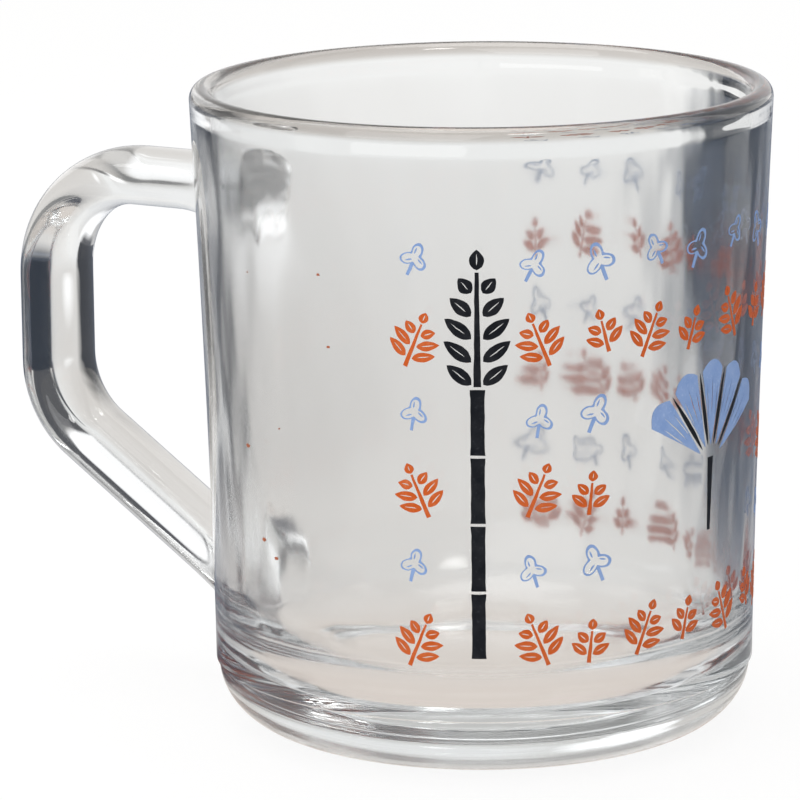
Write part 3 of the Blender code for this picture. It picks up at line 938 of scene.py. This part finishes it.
# Studio: a pale floor that the camera sees as white, a soft lamp above and one in front on the left.
# Glass shows the floor as a warm grey table, paler further off, with dark flags at both sides, a dim front,
# a white card painted brighter than white as a glowing patch, a warm painted reflection under the mug
# and painted shadows beside and under the handle, so that clear walls and handle get their edges.
scene = bpy.context.scene
scene.view_settings.view_transform = "Standard"
scene.cycles.max_bounces = 32
scene.cycles.transmission_bounces = 32
scene.cycles.glossy_bounces = 16
VIEW_TURN = math.radians(30)
FLOOR_DROP = 0.0001
FLOOR_SIZE = 3.0
SEEN_FLOOR = 0.90
TABLE_NEAR = (0.690, 0.660, 0.630, 1)
TABLE_FAR = (0.960, 0.960, 0.950, 1)
TABLE_NEAR_REACH = 0.15
TABLE_FAR_REACH = 0.65
TABLE_RIGHT = (-0.09, 0.03)
TABLE_RIGHT_SHARE = 0.38
TABLE_LEFT = (0.19, 0.26)
FLOOR_PAINT = (0.930, 0.925, 0.920, 1)
WHITE = (1, 1, 1, 1)
CORE = 0.6
# Painted reflection: the table under the mug is tinted warmer and paler, in place of the print's light cast
# onto it
UNDER_MUG_PAINTED_REFLECTION = (0.770, 0.695, 0.635, 1)
UNDER_MUG_REACH = 0.050
FLAG_STREAKS = 55
STREAK_DRAW = 0.08
STREAK_EDGE = (0.35, 0.65)
STREAK_END = (0.10, 0.15)
FLAG_RAGGED = 0.02
RIGHT_FLAG = 0.064
RIGHT_FLAG_LEAN = 0.03
RIGHT_FLAG_TURN = 0.40
RIGHT_FLAG_TURN_LEAN = 0.14
RIGHT_FLAG_BLUR = 0.040
RIGHT_FLAG_BEHIND = (-0.02, 0.08)
RIGHT_FLAG_ACROSS = (0.08, 0.12)
RIGHT_FLAG_FAINT = 0.4
LEFT_FLAG = 0.047
LEFT_FLAG_BEHIND = (0.04, 0.12)
LEFT_FLAG_LEAN = 0.30
LEFT_FLAG_BLUR = 0.030
LEFT_FLAG_WIDTH = 0.35
LEFT_FLAG_SPREAD = 1.30
FLAG_DARK = (0.025, 0.032, 0.045, 1)
FLAG_PALE = (0.200, 0.230, 0.290, 1)
BLACK_FLAG = (0.035, 0.036, 0.040, 1)
FRONT_TONE = (0.400, 0.398, 0.400, 1)
FRONT_START = 0.10
FRONT_FULL = 0.22
# Painted light: a white card brighter than white, a glowing patch that the glass bends into a highlight by
# the upper root
WHITE_CARD = (-0.090, 0.318, 0)
WHITE_CARD_REACH = 0.045
WHITE_CARD_PAINTED_GLOW = (1.3, 1.3, 1.3, 1)
# Painted shadow: a dark patch on the table under the handle's lower arm
UNDER_ARM = (-0.055, 0.020, 0)
UNDER_ARM_REACH = 0.023
UNDER_ARM_OUTSIDE = (0.039, 0.044)
UNDER_ARM_PAINTED_SHADOW = (0.060, 0.064, 0.085, 1)
# Painted shade: a dim patch on the table beside the grip
GRIP_IN_FRONT = (0.010, 0.030)
GRIP_OUTSIDE = (0.105, 0.135)
GRIP_PAINTED_SHADE = (0.250, 0.250, 0.250, 1)
MIRROR_REACH = (0.045, 0.080)


def stage_frame():
    """The stage's own frame: x to the camera's right, y away behind the mug, z up from the floor."""
    return Matrix.Translation((AXIS_X, 0, 0)) @ Matrix.Rotation(VIEW_TURN, 4, "Z")


def beside(x, y, z):
    """A place by how far it is right of the mug, behind it and above the floor, as the camera sees it."""
    return stage_frame() @ Vector((x, y, z))


def pale_floor():
    """White to the camera, with faint shadows, and a grey table with dark flags to what the glass bends."""
    material = bpy.data.materials.new("pale_floor")
    material.use_nodes = True
    shade = blank_tree(material.node_tree)
    camera = shade.node("ShaderNodeLightPath", give="Is Camera Ray")
    glossy = shade.node("ShaderNodeLightPath", give="Is Glossy Ray")
    through = shade.node("ShaderNodeLightPath", give="Is Transmission Ray")
    place = shade.node("ShaderNodeTexCoord", give="Object")
    across = shade.node("ShaderNodeSeparateXYZ", {}, {0: place}, give="X")
    behind = shade.node("ShaderNodeSeparateXYZ", {}, {0: place}, give="Y")
    reach = shade.vector("LENGTH", place, give="Value")
    right_in = across - behind * RIGHT_FLAG_LEAN
    right_in = right_in - (behind - RIGHT_FLAG_TURN).at_least(0) * RIGHT_FLAG_TURN_LEAN - RIGHT_FLAG
    left_in = 0 - across - behind * LEFT_FLAG_LEAN - LEFT_FLAG
    drawn = shade.node("ShaderNodeCombineXYZ", {}, {"X": right_in, "Y": behind * STREAK_DRAW})
    streak = shade.grain(drawn, FLAG_STREAKS, 3)
    ragged = (streak - 0.5) * FLAG_RAGGED
    right = (right_in + ragged).between(-0.5 * RIGHT_FLAG_BLUR, 0.5 * RIGHT_FLAG_BLUR)
    solid = behind.between(*RIGHT_FLAG_BEHIND).at_least(across.between(*RIGHT_FLAG_ACROSS))
    right = right * (solid * (1 - RIGHT_FLAG_FAINT) + RIGHT_FLAG_FAINT)
    left = (left_in + ragged).between(0.0, LEFT_FLAG_BLUR) * behind.between(*LEFT_FLAG_BEHIND)
    left_out = (left_in - LEFT_FLAG_WIDTH).at_most(0 - across - behind * LEFT_FLAG_SPREAD - LEFT_FLAG)
    left = left * (1 - left_out.between(0, LEFT_FLAG_BLUR))
    slate = (streak.between(*STREAK_EDGE) * (1 - across.between(*STREAK_END))).tint(FLAG_DARK, FLAG_PALE)
    table = reach.between(TABLE_NEAR_REACH, TABLE_FAR_REACH).tint(TABLE_NEAR, TABLE_FAR)
    pale = (across.between(*TABLE_RIGHT) * TABLE_RIGHT_SHARE).at_least((0 - across).between(*TABLE_LEFT))
    table = pale.tint(table, TABLE_FAR)
    # Painted reflection of the print's warm light on the table under the mug
    table = reach.between(UNDER_MUG_REACH, UNDER_MUG_REACH * CORE).tint(table, UNDER_MUG_PAINTED_REFLECTION)
    # Painted light: the glowing white card
    from_card = shade.vector("DISTANCE", place, WHITE_CARD, give="Value")
    table = from_card.between(WHITE_CARD_REACH, 0.0).tint(table, WHITE_CARD_PAINTED_GLOW)
    # Painted shadow under the handle's lower arm
    from_arm = shade.vector("DISTANCE", place, UNDER_ARM, give="Value")
    painted_arm_shadow = from_arm.between(UNDER_ARM_REACH, UNDER_ARM_REACH * CORE)
    painted_arm_shadow = painted_arm_shadow * (0 - across).between(*UNDER_ARM_OUTSIDE)
    table = painted_arm_shadow.tint(table, UNDER_ARM_PAINTED_SHADOW)
    flagged = left.tint(right.tint(table, slate), BLACK_FLAG)
    flagged = (0 - behind).between(FRONT_START, FRONT_FULL).tint(flagged, FRONT_TONE)
    # Painted shade beside the grip
    painted_grip_shade = (0 - behind).between(*GRIP_IN_FRONT) * (0 - across).between(*GRIP_OUTSIDE)
    flagged = painted_grip_shade.tint(flagged, GRIP_PAINTED_SHADE)
    mirrored = (glossy - through).between(0, 1) * reach.between(*MIRROR_REACH)
    flagged = mirrored.tint(flagged, FLAG_PALE)
    lit = shade.node("ShaderNodeBsdfDiffuse", {}, {"Color": FLOOR_PAINT})
    seen = camera.tint(flagged, WHITE)
    glow = shade.node("ShaderNodeEmission", {}, {"Color": seen, "Strength": 1.0})
    share = (camera * SEEN_FLOOR).at_least(glossy).at_least(through)
    surface = shade.node("ShaderNodeMixShader", {}, {0: share, 1: lit, 2: glow})
    shade.node("ShaderNodeOutputMaterial", {}, {"Surface": surface})
    return material


def flat_floor():
    """One wide square just under the foot, laid in the stage's frame."""
    bm = bmesh.new()
    corners = ((-1, -1), (1, -1), (1, 1), (-1, 1))
    bm.faces.new([bm.verts.new((x * FLOOR_SIZE, y * FLOOR_SIZE, -FLOOR_DROP)) for x, y in corners])
    made = add_object("floor", bm)
    made.matrix_world = stage_frame()
    made.data.materials.append(pale_floor())


flat_floor()

TOP_BOX = (-0.10, 0.15, 0.90)
TOP_BOX_SIZE = 0.70
TOP_BOX_POWER = 3.2
FRONT_BOX = (-0.45, -0.75, 0.60)
FRONT_BOX_SIZE = 0.90
FRONT_BOX_POWER = 4.2


def soft_lamp(name, place, aim, size, power):
    """A square soft box that faces a point."""
    data = bpy.data.lights.new(name, "AREA")
    data.shape = "RECTANGLE"
    data.size = data.size_y = size
    data.energy = power
    lamp = bpy.data.objects.new(name, data)
    scene.collection.objects.link(lamp)
    lamp.location = place
    lamp.rotation_mode = "QUATERNION"
    lamp.rotation_quaternion = (aim - place).to_track_quat("-Z", "Y")
    lamp.visible_camera = False
    return lamp


middle = beside(0, 0, HEIGHT / 2)
top_box = soft_lamp("top_box", beside(*TOP_BOX), middle, TOP_BOX_SIZE, TOP_BOX_POWER)
top_box.visible_transmission = False
soft_lamp("front_box", beside(*FRONT_BOX), middle, FRONT_BOX_SIZE, FRONT_BOX_POWER)

# The room that the glass bends and mirrors: pale walls with a bright wall, windows and ceiling, a bright pane
# in front, a dim side behind the camera, a dark line low at the left back and a dark slab on the right.
# Each part lies towards a direction of the stage, and its edge runs between two cosines from it.
ROOM_TONE = (0.700, 0.685, 0.665, 1)
FAR_WALL_TONE = (0.970, 0.970, 0.965, 1)
BRIGHT_TONE = (1.4, 1.4, 1.4, 1)
LOW_LINE_TONE = (0.100, 0.100, 0.105, 1)
FRONT_SIDE_TONE = (0.440, 0.436, 0.430, 1)
WINDOW_TONE = (1.12, 1.12, 1.12, 1)
SLAB_TONE = (0.080, 0.082, 0.090, 1)
PANE_TONE = (11.0, 11.0, 10.8, 1)
world = bpy.data.worlds.new("studio")
world.use_nodes = True
scene.world = world
sky = blank_tree(world.node_tree)
direction = sky.node("ShaderNodeTexCoord", give="Generated")
up = sky.node("ShaderNodeSeparateXYZ", {}, {0: direction}, give="Z")
low = 1 - up.between(0.26, 0.50)
glossy = sky.node("ShaderNodeLightPath", give="Is Glossy Ray")


def towards(x, y, z):
    """How nearly a ray runs towards a direction of the stage: 1 along it, 0 square to it."""
    aim = (beside(x, y, z) - beside(0, 0, 0)).normalized()
    return sky.vector("DOT_PRODUCT", direction, aim, give="Value")


far_wall = towards(0.31, 0.95, 0.14).between(0.80, 0.95) * low
room = far_wall.tint(ROOM_TONE, FAR_WALL_TONE)
left_wall = towards(-0.36, 0.93, 0.12).between(0.975, 0.992) * low
room = left_wall.tint(room, BRIGHT_TONE)
left_patch = towards(-0.454, 0.836, 0.309).between(0.985, 0.993) * glossy
room = left_patch.tint(room, BRIGHT_TONE)
low_line = towards(-0.48, 0.88, 0.0).between(0.970, 0.990) * up.between(0.07, 0.01) * glossy
room = low_line.tint(room, LOW_LINE_TONE)
front_side = towards(0, -1, 0).between(0.20, 0.45) * glossy
room = front_side.tint(room, FRONT_SIDE_TONE)
left_window = towards(-0.551, 0.097, 0.829).between(0.90, 0.98)
right_window = towards(0.406, 0.341, 0.848).between(0.955, 0.985)
room = left_window.at_least(right_window).tint(room, WINDOW_TONE)
ceiling = up.between(0.950, 0.985)
room = ceiling.tint(room, BRIGHT_TONE)
slab = towards(0.174, -0.985, 0)
slab = slab.at_least(0 - slab).between(0.168, 0.135) * towards(1, 0, 0).between(0.15, 0.30)
slab = slab * up.between(0.975, 0.950) * glossy
room = slab.tint(room, SLAB_TONE)
pane = towards(0.224, -0.520, 0.824).between(0.9940, 0.9965) * glossy
room = pane.tint(room, PANE_TONE)
seen = sky.node("ShaderNodeLightPath", give="Is Camera Ray")
backdrop = seen.tint(room, WHITE)
background = sky.node("ShaderNodeBackground", {}, {"Color": backdrop, "Strength": 1.0})
sky.node("ShaderNodeOutputWorld", {}, {"Surface": background})

# Camera: a long lens that looks down a little at the middle of mug and handle.
# It stands where the handle shows at the left, turned somewhat behind the mug, and leans by half a degree.
SENSOR_WIDTH = 36
LENS_LENGTH = 224.4
VIEW_DROP = math.radians(12.442)
VIEW_ROLL = math.radians(0.543)
VIEW_DISTANCE = 0.6974
AIM = (-0.011566, 0.0, 0.045181)
camera_data = bpy.data.cameras.new("camera")
camera_data.sensor_width = SENSOR_WIDTH
camera_data.lens = LENS_LENGTH
camera = bpy.data.objects.new("camera", camera_data)
scene.collection.objects.link(camera)
camera.matrix_world = (
    Matrix.Translation(beside(*AIM))
    @ Matrix.Rotation(VIEW_TURN, 4, "Z")
    @ Matrix.Rotation(math.pi / 2 - VIEW_DROP, 4, "X")
    @ Matrix.Rotation(-VIEW_ROLL, 4, "Z")
    @ Matrix.Translation((0, 0, VIEW_DISTANCE))
)
scene.camera = camera
